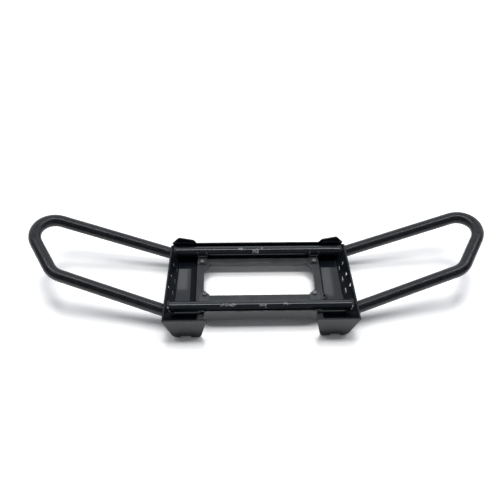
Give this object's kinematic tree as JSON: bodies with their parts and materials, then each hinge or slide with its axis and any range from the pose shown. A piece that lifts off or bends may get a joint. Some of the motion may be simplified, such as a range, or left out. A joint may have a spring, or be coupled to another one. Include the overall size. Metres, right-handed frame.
{
  "type": "atv front bumper",
  "caption": "Black tubular quad bike front bumper with looped side wings, perforated side plates, mounting ears and a framed opening in its folded centre panel.",
  "frame": {"origin": "on the floor, under the middle of the bumper as it lies on its ears", "axes": "X across the bumper, Y up its centre section as it is fitted, Z off the floor towards the side that is seen"},
  "size_m": [0.96, 0.2431, 0.1225],
  "materials": {
    "black_satin_paint": "satin black paint on bent steel tube",
    "black_gloss_paint": "semi-gloss black paint on sheet steel",
    "painted_weld": "black paint over weld beads, chipped",
    "worn_gloss_paint": "glossy black paint with scratches down to bare steel",
    "panel_paint": "semi-gloss black paint on folded sheet steel",
    "grey_frame_paint": "dull dark grey paint",
    "clip_paint": "black paint",
    "screen_wire": "torn dark screen",
    "screw_steel": "zinc-plated steel",
    "nut_steel": "zinc-plated steel",
    "grommet_rubber": "black rubber"
  },
  "bodies": {
    "root": {"right_wing_tube": "black_satin_paint", "left_wing_tube": "black_satin_paint", "right_side_plate": "black_gloss_paint", "left_side_plate": "black_gloss_paint", "right_upper_arm_weld": "painted_weld", "left_upper_arm_weld": "painted_weld", "right_lower_arm_weld": "painted_weld", "left_lower_arm_weld": "painted_weld", "right_upper_tube_weld": "painted_weld", "left_upper_tube_weld": "painted_weld", "right_lower_tube_weld": "painted_weld", "left_lower_tube_weld": "painted_weld", "right_upper_clip": "clip_paint", "left_upper_clip": "clip_paint", "right_lower_tab": "clip_paint", "left_lower_tab": "clip_paint", "upper_cross_tube": "worn_gloss_paint", "lower_cross_tube": "worn_gloss_paint", "centre_panel": "panel_paint", "grille_frame": "grey_frame_paint", "screen_remains": "screen_wire", "grille_screws": "screw_steel", "grille_nuts": "nut_steel", "panel_grommet": "grommet_rubber"}
  },
  "joints": []
}
